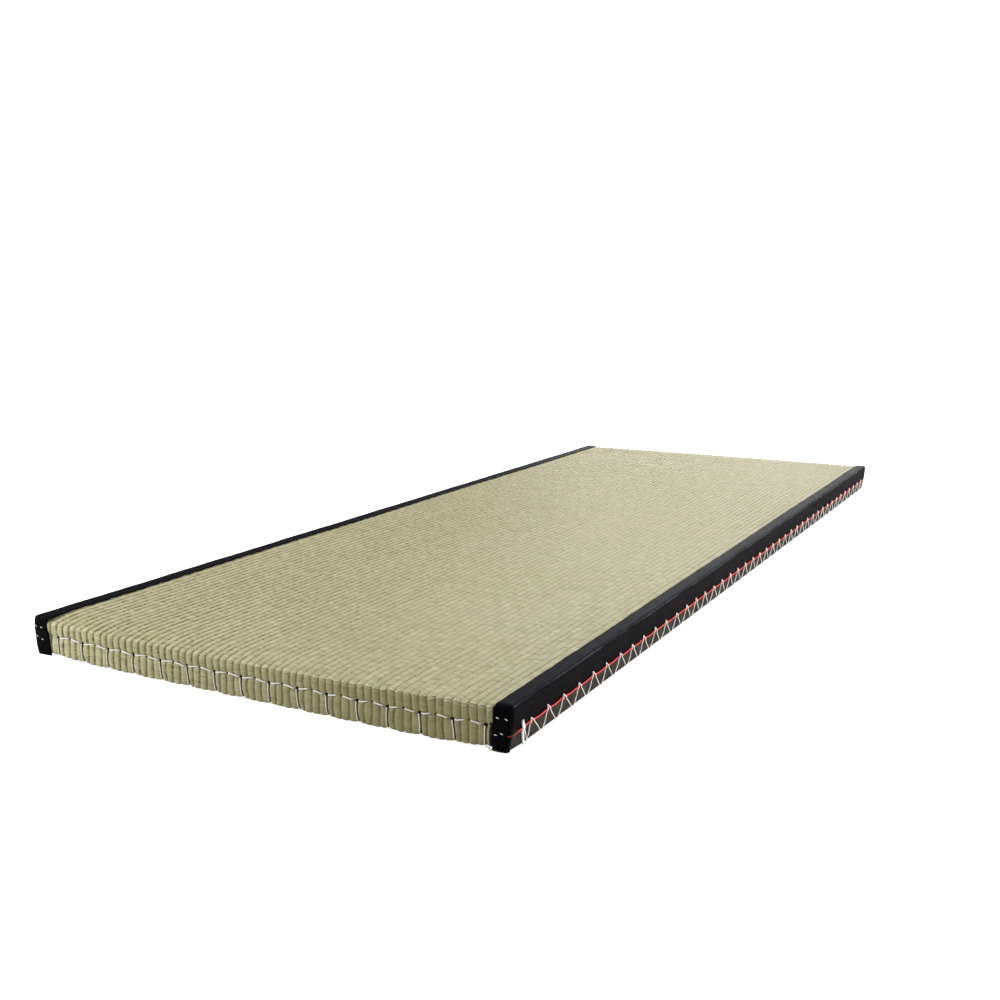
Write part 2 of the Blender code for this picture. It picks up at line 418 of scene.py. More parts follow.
def rush_at_ends(rush, v, reach, above, below):
    """1 where the section is less than the reach from one of its feet, and 0 between, with a step that
    starts above the reach and ends below it."""
    total = section()[3][-1]
    near = rush.range(v, reach + above, reach - below)
    far = rush.range(v, total - reach - above, total - reach + below)
    return rush.add(near, far)


def rush_fold_cracks_and_highlights(rush, colour, u, v):
    """Along the top fold of each end stems are cracked dark, with pale painted highlights just above and
    below the crack, more so at the right."""
    near_fold = length_at(FOLD_HEIGHT)
    far_fold = section()[3][-1] - near_fold
    wander = 0.0024
    more = rush.range(u, 18.0, 50.0, 0.20, 1.0)
    from_middle = rush.less(rush.math("FRACT", u), 0.5)
    for salt, fold in ((2.0, near_fold), (5.0, far_fold)):
        wobble = rush.cells(u, 0.0, salt)
        tilt = rush.times(from_middle, rush.cells(u, 0.0, salt + 1.0), wander)
        wavy = rush.range(rush.noise(rush.point(u, salt + 2.0), 1.1, 3.0), 0.30, 0.70, -wander, wander)
        crack_at = rush.add(rush.add(rush.add(fold - 0.0012, rush.times(wobble, 0.0022)), tilt), wavy)
        away = rush.less(v, crack_at)
        thin = rush.range(rush.math("ABSOLUTE", away), 0.0010, 0.0003)
        broken = rush.range(rush.noise(rush.point(u, salt), 2.6, 3.0), 0.42, 0.56, 0.05, 1.0)
        # Pale painted highlights just above and below the crack
        over = rush.times(rush.range(rush.apart(away, 0.0019), 0.0014, 0.0005), broken)
        under = rush.times(rush.range(rush.apart(away, -0.0017), 0.0012, 0.0004), wobble, 0.8)
        colour = rush.mix(rush.times(rush.add(over, under), more, 0.60), colour, seen(232, 225, 198))
        colour = rush.mix(rush.times(thin, broken, more, 0.85), colour, seen(96, 78, 50))
    return colour


def rush_knot_hole_shade(rush, colour, u, v):
    """Painted shade in the holes that the needle left, at each knot and, smaller, half-way between two."""
    near_chain = length_at(KNOT_HEIGHT)
    far_chain = section()[3][-1] - near_chain
    at_knot = (FIRST_KNOT, 0.0029, 0.97, 0.0)
    between = (FIRST_KNOT + RIBS_PER_KNOT / 2, 0.0017, 0.8, CHAIN_RISE)
    for chain, up in ((near_chain, 1), (far_chain, -1)):
        for first, radius, dark, rise in (at_knot, between):
            side = right_of_knot(rush, u, first - 0.09)
            height = rush.less(v, chain + up * rise)
            away = rush.math("SQRT", rush.add(rush.times(side, side), rush.times(height, height)))
            # Near-black painted shade in each hole
            colour = rush.mix(rush.range(away, radius, radius * 0.6, 0.0, dark), colour, seen(20, 16, 9))
    return colour


def right_of_knot(rush, u, first):
    """How far to the right of the nearest knot, in metres, with the first knot at this many ribs."""
    turns = rush.over(rush.less(u, first), RIBS_PER_KNOT)
    return rush.times(rush.less(turns, rush.math("ROUND", turns)), RIBS_PER_KNOT * RIB_PITCH)


def rush_furrows(rush, colour, u, v):
    """The shade in the furrow to the right of each dropped thread, and in the open groove at the cap."""
    soft = 0.001
    aside = right_of_knot(rush, u, FIRST_KNOT)
    furrow = rush.times(rush.range(aside, -0.0012, -0.0006), rush.range(aside, 0.0014, 0.0005))
    below = rush_at_ends(rush, v, length_at(KNOT_HEIGHT), soft, soft)
    colour = rush.mix(rush.times(furrow, below, 0.80), colour, seen(56, 48, 28))
    slit = rush.range(u, SLIT_RIB - 0.60, SLIT_RIB - 0.50)
    slit_top = length_at(KNOT_HEIGHT) + SLIT_RISE
    low = rush.range(v, slit_top + soft, slit_top - soft)
    return rush.mix(rush.times(slit, low, 0.97), colour, seen(10, 8, 6))


def binding_finish():
    """Matt black cotton: a fine plain weave, faintly faded patches, a top painted lighter than the caps, a
    rubbed fold with a painted highlight, and a few specks of lint."""
    cloth = Finish("binding_cloth", roughness=0.5, specular=0.022)
    place = cloth.place()
    x, y, z = cloth.parts(place)
    weave_pitch = 0.0010
    waves = [cloth.math("SINE", cloth.times(part, 2 * math.pi / weave_pitch)) for part in (x, y, z)]
    weave = cloth.times(cloth.add(waves[0], waves[2]), waves[1])
    faded = cloth.noise(place, 26.0, 4.0)
    colour = cloth.mix(cloth.range(faded, 0.35, 0.75), seen(2, 1, 3), seen(8, 6, 11))
    # Painted light: the top is a little lighter than the caps, which are almost black
    colour = cloth.mix(cloth.range(z, HEIGHT - 0.004, HEIGHT - 0.001, 0.0, 0.5), colour, seen(21, 20, 30))
    # A thin line along the outer top fold, rubbed grey with a painted highlight, where a point is as far in
    # as it is low
    out = cloth.less(cloth.math("ABSOLUTE", x), HALF_WIDTH)
    up = cloth.less(z, HEIGHT)
    on_line = cloth.range(cloth.apart(out, up), 0.0017, 0.0006)
    on_fold = cloth.range(cloth.add(out, up), -0.80 * FOLD_ROUND, -0.72 * FOLD_ROUND)
    rubbed_highlight = cloth.range(cloth.noise(place, 90.0, 3.0), 0.25, 0.65, 0.35, 1.0)
    colour = cloth.mix(cloth.times(on_line, on_fold, rubbed_highlight, 0.65), colour, seen(80, 80, 90))
    lint = cloth.node("ShaderNodeTexVoronoi", {"Vector": place, "Scale": 150.0})
    near_speck = cloth.range(lint.outputs["Distance"], 0.11, 0.04)
    picked = cloth.node("ShaderNodeSeparateColor", {"Color": lint.outputs["Color"]}).outputs[0]
    speck = cloth.times(near_speck, cloth.math("GREATER_THAN", picked, 0.95))
    colour = cloth.mix(cloth.times(speck, 0.5), colour, seen(110, 108, 112))
    normal = cloth.bump(weave, 0.3, 0.0003)
    normal = cloth.bump(cloth.noise(place, 70.0, 3.0), 0.3, 0.0015, normal)
    return cloth.done(colour, normal=normal)


def strip_finish():
    """Dark brown-grey backing with faint upright streaks."""
    strip = Finish("side_backing", roughness=0.9, specular=0.15)
    _, y, z = strip.parts(strip.place())
    streaks = strip.noise(strip.point(strip.times(y, 300.0), strip.times(z, 45.0)), 1.0, 3.0)
    colour = strip.mix(strip.range(streaks, 0.3, 0.7), seen(34, 31, 29), seen(64, 59, 54))
    return strip.done(colour, normal=strip.bump(streaks, 0.4, 0.0006))


def thread_finish(name, light, dark, end_colour=None):
    """Twisted thread, softly changing in tone. A darker colour, if given, covers its last bit at each end of
    the mat."""
    thread = Finish(name, roughness=0.65, specular=0.3)
    fibres = thread.noise(thread.place(), 420.0)
    colour = thread.mix(fibres, seen(*dark), seen(*light))
    if end_colour:
        along = thread.math("ABSOLUTE", thread.parts(thread.place())[1])
        share = thread.range(along, HALF_LENGTH - 0.024, HALF_LENGTH - 0.014)
        colour = thread.mix(share, colour, seen(*end_colour))
    return thread.done(colour, normal=thread.bump(fibres, 0.3, 0.0003))


# The rush cover

def section():
    """The long section from the near foot over the top to the far foot: y, z, the outward angle above
    level, and the length along it. A small round at the foot, an upright face, and a larger round at the
    fold."""
    foot = np.radians(np.linspace(-90, 0, 6))
    fold = np.radians(np.linspace(0, 90, 9))
    seam = 0.0055  # the rows lie closer together near the seam
    low = np.linspace(FOOT_ROUND, KNOT_HEIGHT - seam, 9)[1:-1]
    middle = np.linspace(KNOT_HEIGHT - seam, KNOT_HEIGHT + seam, 12)
    high = np.linspace(KNOT_HEIGHT + seam, RUSH_TOP - TOP_ROUND, 7)[1:-1]
    face = np.concatenate([low, middle, high])
    inset = np.concatenate([FOOT_ROUND * (1 - np.cos(foot)), 0 * face, TOP_ROUND * (1 - np.cos(fold))])
    height = [FOOT_ROUND * (1 + np.sin(foot)), face, RUSH_TOP - TOP_ROUND * (1 - np.sin(fold))]
    height = np.concatenate(height)
    angle = np.concatenate([foot, 0 * face, fold])
    top = np.linspace(-RUSH_END + TOP_ROUND, RUSH_END - TOP_ROUND, TOP_ROWS + 2)[1:-1]
    y = np.concatenate([-RUSH_END + inset, top, (RUSH_END - inset)[::-1]])
    z = np.concatenate([height, np.full(TOP_ROWS, RUSH_TOP), height[::-1]])
    angle = np.concatenate([angle, np.full(TOP_ROWS, np.pi / 2), angle[::-1]])
    along = np.concatenate([[0], np.cumsum(np.hypot(np.diff(y), np.diff(z)))])
    return y, z, angle, along


def length_at(height):
    """How far along the section a height of the near end lies."""
    _, z, _, along = section()
    near = len(z) // 3
    return float(np.interp(height, z[:near], along[:near]))


def weave_place(ribs):
    """How far across the mat a place counted in ribs lies: even steps, leaning right by the drift times
    sin(p) * (1 + cos(p) / 2), where p runs from 0 to pi across the mat, and by the bow; and each groove's
    own sway."""
    turn = np.pi * ribs / RIB_COUNT
    drift = WEAVE_DRIFT * np.sin(turn) * (1 + 0.5 * np.cos(turn))
    place = FIRST_GROOVE + ribs * RIB_PITCH + drift + np.interp(ribs, np.arange(RIB_COUNT + 1), GROOVE_SWAY)
    return place + BOW_LEAN * end_bow(place)


def end_bow(across):
    """How far an end stands out: the bow, less the fourth power of the place's share of the way to the
    cap."""
    return END_BOW * np.maximum(1 - np.abs(across / RIB_HALF) ** 4, 0)


def rib_columns():
    """The columns across the mat: where each lies in ribs, and its height on its rib, up to 1. A rib's
    height is 1 - |2t - 1| to the power 2.2, softened by a power of 0.75: a pillow between open grooves."""
    steps = np.array([0.0, 0.045, 0.13, 0.29, 0.50, 0.71, 0.87, 0.955])
    ribs = (np.arange(RIB_COUNT)[:, None] + steps).ravel()
    margin = 0.0006
    ribs = ribs[np.abs(weave_place(ribs)) < RIB_HALF - margin]
    # The first and the last column stand at the inner edges of the bindings
    fine = np.linspace(0, RIB_COUNT, 50 * RIB_COUNT)
    edges = np.interp([-RIB_HALF, RIB_HALF], weave_place(fine), fine)
    ribs = np.concatenate([edges[:1], ribs, edges[1:]])
    crest = np.maximum(1 - np.abs(2 * (ribs % 1) - 1) ** 2.2, 0) ** 0.75
    return ribs, crest


class EndSewing:
    """How the threads of one end lie: each knot's pull, and how far the thread below it leans and bows."""

    def __init__(self, sign, seed):
        rng = np.random.default_rng(seed)
        count = len(KNOT_RIBS)
        self.sign = sign
        self.pull = rng.uniform(0.75, 1.25, count)
        self.lean = rng.uniform(0.0002, 0.0042, count)
        self.bow = rng.normal(0.0002, 0.0011, count)
        self.lean[-1] = 0.0002
        self.bow[-1] = 0.0

    def shift(self, knot, height):
        """How far to the right the thread below a knot lies at a height."""
        share = np.clip((KNOT_HEIGHT - height) / KNOT_HEIGHT, 0, 1)
        return self.lean[knot] * share + self.bow[knot] * np.sin(np.pi * share)


def nearest_knot(ribs):
    """For each column the number of its nearest knot, and how far it stands to the right of it, in
    metres."""
    away = ribs[:, None] - KNOT_RIBS[None, :]
    knot = np.abs(away).argmin(axis=1)
    return knot, (ribs - KNOT_RIBS[knot]) * RIB_PITCH


def rib_pillows(rng, ribs, crest, y, face):
    """How far each point lies below the plain section: deepest in the grooves, least on the crests,
    which wander a little. face is 1 on the end faces and 0 on the top."""
    own = soft_noise(rng, len(y), RIB_COUNT, 55, RIB_COUNT - 1)[:, np.floor(ribs).astype(int)]
    # The top is worn flatter towards the near right corner
    flatter = 1 - 0.40 * (1 - face) * smooth_step(10.0, 54.0, ribs) * smooth_step(0.3, -0.5, y)
    groove = RIB_DEPTH * flatter * (1 + 0.40 * face) * (1 - crest) * (1 + 0.2 * own)
    return groove + 0.00022 * (1 - own) * crest


def sewn_in(across, aside, pull, y, z):
    """How far the end sewing presses each point in: a line all along, dimples and holes at the knots, a
    furrow at each dropped thread, and the groove that stands open at the near right cap."""
    chain = KNOT_HEIGHT + CHAIN_RISE * smooth_step(0.002, 0.022, np.abs(aside))
    dimple = bell(0.0, 0.0062, aside) * bell(KNOT_HEIGHT, 0.0046, z)
    hole = bell(-0.0002, 0.0016, aside) * bell(KNOT_HEIGHT, 0.0018, z)
    furrow = bell(0.0, 0.0021, aside) * smooth_step(KNOT_HEIGHT, KNOT_HEIGHT - 0.003, z)
    bulge = bell(0.045, 0.009, z) + 0.8 * bell(0.014, 0.009, z)
    slit_top = KNOT_HEIGHT + SLIT_RISE
    slit = bell(weave_place(SLIT_RIB), 0.0024, across) * smooth_step(slit_top + 0.0015, slit_top - 0.0015, z)
    pressed = LINE_DEPTH * bell(chain, 0.0024, z) + HOLE_DEPTH * hole + SLIT_DEPTH * slit * (y < 0)
    return pressed + pull * (DIMPLE_DEPTH * dimple + FURROW_DEPTH * furrow) - BULGE * bulge


def rib_wander(rng, ribs, across, aside, z, drop):
    """How far each point lies beside its place: the ribs wander a little, sway on the lower half of each
    end, and follow the threads that drop from the knots."""
    grooves = np.arange(RIB_COUNT + 1)
    rib = np.floor(ribs).astype(int)
    wander = soft_noise(rng, len(z), RIB_COUNT + 1, 26, RIB_COUNT // 2)
    wander = wander[:, rib] + (wander[:, rib + 1] - wander[:, rib]) * (ribs % 1)
    swing = np.interp(ribs, grooves, rng.normal(0, 0.0007, RIB_COUNT + 1))
    phase = np.interp(ribs, grooves, rng.uniform(-0.6, 0.6, RIB_COUNT + 1))
    share = np.clip((KNOT_HEIGHT - z) / KNOT_HEIGHT, 0, 1)
    sway = swing * np.sin(1.35 * np.pi * share + phase * share)
    beside = bell(0.0, 0.0085, aside)
    inner = smooth_step(RIB_HALF, RIB_HALF - 0.02, np.abs(across))
    return inner * (0.0004 * wander + sway * (1 - beside) + drop * beside)


def rush_surface(rng, near_sewing, far_sewing):
    """The cover's points, rows round the long section and columns across the mat, with the weave map.
    Each point is pushed in from the plain section by its rib's pillow and the sewing, and moved sideways
    with its rib. Then the foot is drawn up, the near top edge down, and the ends out."""
    ribs, crest = rib_columns()
    across = weave_place(ribs)
    section_y, section_z, angle, along = section()
    flat_map = np.stack(np.broadcast_arrays(ribs, along[:, None]), axis=-1)
    plain_y, plain_z = section_y[:, None], section_z[:, None]
    out_y = (-np.sign(np.linspace(1, -1, len(angle))) * np.cos(angle))[:, None]
    face = np.abs(out_y)
    knot, aside = nearest_knot(ribs)
    pull = np.where(plain_y < 0, near_sewing.pull[knot], far_sewing.pull[knot])

    sink = rib_pillows(rng, ribs, crest, plain_y, face)
    sink = sink + face * sewn_in(across, aside, pull, plain_y, plain_z)
    y = plain_y - sink * out_y
    z = plain_z - sink * np.sin(angle)[:, None]
    drop = np.where(plain_y < 0, near_sewing.shift(knot, z), far_sewing.shift(knot, z))
    x = across + rib_wander(rng, ribs, across, aside, z, drop)

    # The foot of each end hangs in soft scallops, drawn up where a thread goes under
    drawn_up = 0.0012 * smooth_step(0.013, 0.002, z) * bell(0.0, 0.0078, aside) * pull
    z = z + drawn_up
    y = y - drawn_up * np.sign(out_y)
    edge_share = np.clip((np.abs(across) - FLAT_HALF) / (HALF_WIDTH - FLAT_HALF), 0, 1)
    z = z + EDGE_RISE * np.sin(np.pi / 2 * edge_share) * smooth_step(0.007, 0.001, z)
    drawn_down = END_DROP * smooth_step(RUSH_END - 0.040, RUSH_END - 0.003, -plain_y)
    drawn_down = drawn_down * (1 - 0.85 * smooth_step(0.0, 0.36, across))
    z = z - drawn_down * smooth_step(KNOT_HEIGHT, RUSH_TOP, z)
    at_ends = smooth_step(RUSH_END - 0.120, RUSH_END - 0.004, np.abs(plain_y))
    y = y + np.sign(plain_y) * at_ends * end_bow(across)
    return xyz(x, y, np.maximum(z, 0.0)), flat_map


def side_reach(height, inset=0.0):
    """How far from the middle a long side stands at a height: the sides lean in towards the underside."""
    return HALF_WIDTH - SIDE_TAPER * (1 - height / HEIGHT) - inset


def rush_cover(finish, near_sewing, far_sewing):
    """The rush body, closed: the ribbed grid, with a plain leaning side under each binding."""
    grid, flat_map = rush_surface(np.random.default_rng(5), near_sewing, far_sewing)
    under = 0.0018  # how far the hidden sides stay below the cover's own faces
    sides = []
    for side, column in (("left", 0), ("right", -1)):
        edge = grid[:, column].copy()
        edge[:, 0] = SIGNS[side] * (side_reach(edge[:, 2], CLOTH_THICK + 0.0008) + SIDES_OUT[side][0])
        edge[:, 1] = np.clip(edge[:, 1], -RUSH_END + under, RUSH_END - under)
        edge[:, 2] = np.minimum(edge[:, 2], RUSH_TOP - under)
        sides.append(edge[:, None])
    grid = np.concatenate([sides[0], grid, sides[1]], axis=1)
    flat_map = np.concatenate([flat_map[:, :1], flat_map, flat_map[:, -1:]], axis=1)
    rows, columns = grid.shape[:2]
    index = np.arange(rows * columns).reshape(rows, columns)
    ends = [index[::-1, 0].tolist(), index[:, -1].tolist()]
    return mesh_piece("rush_cover", grid, grid_quads(rows, columns, wrap_rows=True), finish, flat_map, ends)


# The bindings

def hem_wave(y):
    """The height of the binding's hem along the side: drawn up at each stitch, sagging between."""
    stitch = (y - FIRST_STITCH) / STITCH_PITCH
    away = np.abs(stitch - np.round(stitch)) * 2
    return HEM_HEIGHT + 0.0006 - 0.0012 * smooth_step(0.0, 1.0, away)


def rounded(points):
    """Rounds a box's folds: each point is drawn to the fold's radius from the nearest place of a smaller
    box."""
    low = np.array([-1.0, -(HALF_LENGTH - FOLD_ROUND), -1.0])
    high = np.array([HALF_WIDTH - FOLD_ROUND, HALF_LENGTH - FOLD_ROUND, HEIGHT - FOLD_ROUND])
    core = np.clip(points, low, high)
    away = points - core
    length = np.linalg.norm(away, axis=-1, keepdims=True)
    return core + away * FOLD_ROUND / np.maximum(length, 1e-9)


def fold_steps(low, fold_at, count, edge=0.0):
    """Places from low to a fold: even ones, then closer ones that the rounding spreads evenly round it.
    An edge width adds three near low, where the cloth turns in."""
    turning = fold_at - FOLD_ROUND * np.tan(np.radians(np.linspace(45, 0, 8)))[1:]
    even = np.linspace(low + edge, fold_at - FOLD_ROUND, count)
    curl = low + edge * np.array([0.0, 0.2, 0.5]) if edge else np.zeros(0)
    return np.concatenate([curl, even, turning])


def merge_points(points, quads):
    """Points in the same place made one."""
    keys = np.round(points * 1e6).astype(np.int64)
    _, first, index = np.unique(keys, axis=0, return_index=True, return_inverse=True)
    return points[first], index.reshape(-1)[quads]


def binding_box():
    """The open box of the right binding, before rounding, as merged points and quads that face outwards:
    its top, its side, both end caps, and the narrow return of each cap below the hem."""
    x = fold_steps(INNER_EDGE, HALF_WIDTH, 8, EDGE_TURN)
    z_side = fold_steps(HEM_HEIGHT, HEIGHT, 10, EDGE_TURN)
    z_low = fold_steps(CAP_FOOT, HEM_HEIGHT + FOLD_ROUND, 9, EDGE_TURN)[:12]
    z_low = np.append(z_low[z_low < HEM_HEIGHT - 0.0003], HEM_HEIGHT)
    z_cap = np.concatenate([z_low[:-1], z_side])
    y_half = fold_steps(0.0, HALF_LENGTH, 300)
    y = np.concatenate([-y_half[:0:-1], y_half])
    patches = [(xyz(x[:, None], y, HEIGHT), True), (xyz(HALF_WIDTH, y[:, None], z_side), True)]
    for sign in (-1, 1):
        patches.append((xyz(x[:, None], sign * HALF_LENGTH, z_cap), sign < 0))
        back = y[sign * y > HALF_LENGTH - FOLD_ROUND - 0.0001]
        patches.append((xyz(HALF_WIDTH, back[:, None], z_low), True))
    points, quads = [], []
    start = 0
    for patch, flip in patches:
        rows, columns = patch.shape[:2]
        made = grid_quads(rows, columns, start=start)
        points.append(patch.reshape(-1, 3))
        quads.append(made[:, ::-1] if flip else made)
        start += rows * columns
    return merge_points(np.concatenate(points), np.concatenate(quads))


def side_shift(side, along, height):
    """How far out a side stands: a bit all along, and near its ends half a sine wave over its height and
    a bit at the foot."""
    everywhere, middle, foot = SIDES_OUT[side]
    near_end = smooth_step(HALF_LENGTH - 0.040, HALF_LENGTH - 0.004, np.abs(along))
    wave = middle * np.sin(np.pi * np.clip(height / HEIGHT, 0, 1))
    return everywhere + near_end * (wave + foot * smooth_step(0.034, 0.006, height))


def cloth_wave(x, y, z, phase):
    """The cloth's waves: three sines along the mat, each shorter and lower, and one crumpled stretch."""
    wave = 0.00020 * np.sin(23 * y + phase[0] + 90 * z) + 0.00012 * np.sin(61 * y + phase[1] - 70 * x)
    wave = wave + 0.00008 * np.sin(147 * y + phase[2] + 160 * z)
    crumple = bell(0.55, 0.16, y) * np.sin(190 * y + 300 * x + 1.5 * np.sin(70 * y))
    return wave + 0.00026 * crumple


def binding_points(box, side, seed, scallop_depth, cap_shift):
    """The box's points rounded at the folds, leaned in, and disturbed as sewn cloth is. cap_shift says
    how far out the inner edge of a cap lies at its top and at its foot."""
    phase = np.random.default_rng(seed).uniform(0, 6.28, 8)
    box_x, box_y, box_z = box.T
    from_middle = np.abs(box_y)
    soft = rounded(box)
    at_top, at_foot = SHARPNESS[side]
    sharp = at_foot + (at_top - at_foot) * smooth_step(0.0, 0.030, box_z)
    sharp = sharp * smooth_step(HALF_LENGTH - 0.030, HALF_LENGTH - FOLD_ROUND, from_middle)
    x, y, z = (soft + sharp[:, None] * (box - soft)).T
    on_top = smooth_step(HEIGHT - FOLD_ROUND, HEIGHT, box_z)
    on_side = smooth_step(HALF_WIDTH - 0.002, HALF_WIDTH, box_x)
    on_cap = smooth_step(HALF_LENGTH - 0.002, HALF_LENGTH, from_middle)
    # Soft waves, and a slight crown on the top
    wave = cloth_wave(x, y, z, phase)
    crown = 0.0004 * np.sin(np.pi * (box_x - INNER_EDGE) / (HALF_WIDTH - INNER_EDGE))
    z = z + on_top * (wave - 0.0005 + crown)
    x = x + on_side * (wave - 0.0004)
    y = y - np.sign(y) * on_cap * (0.0005 - 0.0005 * np.sin(150 * z + phase[3]) * np.sin(120 * x + phase[4]))
    # The inner edge is drawn in by its stitches and curls down
    near_inner = smooth_step(INNER_EDGE + 0.012, INNER_EDGE, box_x)
    scallop = scallop_depth * np.abs(np.sin(np.pi * y / SCALLOP_PITCH + phase[5]))
    strayed = 0.0006 * np.sin(9.0 * y + phase[6]) + 0.0003 * np.sin(83.0 * y + phase[7])
    x = x - near_inner * (scallop + strayed) * np.maximum(on_top, 0.3)
    top_shift, foot_shift = cap_shift
    cap_lean = foot_shift + (top_shift - foot_shift) * smooth_step(0.012, 0.050, z)
    x = x + near_inner * smooth_step(HALF_LENGTH - 0.012, HALF_LENGTH, from_middle) * (1 - on_top) * cap_lean
    curl = EDGE_CURL * smooth_step(INNER_EDGE + EDGE_TURN, INNER_EDGE, box_x) ** 2
    z = z - on_top * curl
    y = y - np.sign(y) * on_cap * curl
    # The hem follows its own stitches and curls in
    hem = on_side * smooth_step(HALF_LENGTH - 0.0045, HALF_LENGTH - 0.012, from_middle)
    z = z + hem * smooth_step(HEM_HEIGHT + 0.014, HEM_HEIGHT, box_z) * (hem_wave(y) - HEM_HEIGHT)
    x = x - hem * EDGE_CURL * smooth_step(HEM_HEIGHT + EDGE_TURN, HEM_HEIGHT, box_z) ** 2
    outer = smooth_step(INNER_EDGE, HALF_WIDTH, box_x)
    x = x + outer * (side_shift(side, box_y, z) - SIDE_TAPER * (1 - z / HEIGHT))
    z = z - (CAP_FOOT - LOWEST) * smooth_step(0.012, CAP_FOOT, box_z)
    return xyz(x, y, z)


def binding(side, finish, seed, scallop_depth, cap_shift):
    """One binding as a closed sheet: its outer face, given the cloth's thickness inwards."""
    box, quads = binding_box()
    points = binding_points(box, side, seed, scallop_depth, cap_shift)
    if side == "left":
        points = points * np.array([-1, 1, 1])
        quads = quads[:, ::-1]
    piece = mesh_piece(f"binding_cloth_{side}", points, quads, finish)
    thicken(piece, "cloth_thickness", CLOTH_THICK, even=True)
    return piece


def side_strip(side, finish):
    """The dark strip under the hem: a thin leaning sheet, barely bowed between the stitches."""
    y = np.linspace(strip_low.y, strip_high.y, 260)[:, None]
    z = np.linspace(strip_low.z, HEM_HEIGHT + 0.003, 8)
    bow = 0.00025 * np.sin(np.pi * (y - FIRST_STITCH) / STITCH_PITCH) ** 2
    x = side_reach(z, 0.0011) + bow + side_shift(side, y, z)
    quads = grid_quads(len(y), len(z))
    flipped = quads[:, ::-1] if side == "right" else quads
    piece = mesh_piece(f"backing_strip_{side}", xyz(SIGNS[side] * x, y, z), flipped, finish)
    thicken(piece, "strip_thickness", STRIP_THICK)
    return piece


# The sewing

def on_side(side, y, z, lift):
    """Where a thread lies on a side: on the strip, over the cord at the hem, and on the binding above
    it."""
    over_cord = 0.0011 * bell(HEM_HEIGHT - 0.0004, 0.0022, z)
    inset = 0.0009 * smooth_step(HEM_HEIGHT, HEM_HEIGHT - 0.004, z) + 0.0002
    return xyz(SIGNS[side] * (side_reach(z, inset) + over_cord + lift + side_shift(side, y, z)), y, z)


def lacing(side, finish, seed):
    """The white lacing of a long side. From each stitch a near leg drops and then flares towards the
    near end, by its share of the height to the power flare, and a far leg slants to the far end, barely
    bowed."""
    rng = np.random.default_rng(seed)
    steps = np.linspace(0, 1, 11)
    low = 0.0010
    apex = FIRST_STITCH + STITCH_PITCH * np.arange(STITCH_COUNT) + rng.normal(0, 0.0009, STITCH_COUNT)
    apex_z = HEM_HEIGHT + 0.0060 + rng.normal(0, 0.0006, STITCH_COUNT)
    foot = (apex[:-1] + apex[1:]) / 2 + rng.normal(0.0098, 0.0014, STITCH_COUNT - 1)
    foot = np.concatenate([[apex[0] - 0.009], foot, [apex[-1] + 0.020]])
    near_bow = rng.uniform(0, 0.0010, STITCH_COUNT)
    far_bow = rng.uniform(0, 0.0022, STITCH_COUNT)
    z = apex_z[:, None] + (low - apex_z)[:, None] * steps
    paths = []
    for begin, stop, bow, flare in (
        (apex - 0.0005, foot[:-1] + 0.0026, near_bow, 3.2),
        (apex + 0.0005, foot[1:] - 0.0026, far_bow, 1.0),
    ):
        y = begin[:, None] + (stop - begin)[:, None] * steps**flare + bow[:, None] * np.sin(np.pi * steps)
        paths.append(on_side(side, y, z, THREAD * 0.75))
    return tubes(f"lacing_{side}", np.concatenate(paths), THREAD, finish)


def first_stitch(side, finish):
    """The thick doubled stitch that starts the lacing at the near end, with its thinner tail."""
    steps = np.linspace(0, 1, 12)
    top, foot = 0.0345, 0.0012
    z = top + (foot - top) * steps
    # Where each strand starts, how far it leans, and its radius
    strands = ((-0.9742, 0.0084, 0.00150), (-0.9722, 0.0080, 0.00140), (-0.9708, 0.0160, 0.00070))
    paths, radii = [], []
    for start, lean, radius in strands:
        y = start + lean * steps + 0.0005 * np.sin(np.pi * steps)
        paths.append(on_side(side, y, z, radius * 0.8))
        radii.append(radius * (0.8 + 0.2 * np.sin(np.pi * steps)))
    return tubes(f"first_stitch_{side}", np.stack(paths), np.stack(radii), finish, sides=8)


def red_cord(side, finish):
    """The red cord along the hem, drawn up at each stitch and lower at the caps. The left one ends
    short."""
    end = HALF_LENGTH - {"left": 0.0100, "right": 0.0008}[side]
    y = np.linspace(-end, end, 460)
    z = hem_wave(y) + 0.0003 * np.sin(71 * y) - 0.0030 * smooth_step(0.968, 0.996, np.abs(y))
    past_fold = np.maximum(np.abs(y) - (HALF_LENGTH - FOLD_ROUND), 0)
    round_corner = FOLD_ROUND - np.sqrt(FOLD_ROUND**2 - past_fold**2)
    x = side_reach(z, round_corner) + side_shift(side, y, z) + CORD * 0.2
    return tubes(f"red_cord_{side}", xyz(SIGNS[side] * x, y, z)[None], CORD, finish, sides=8)


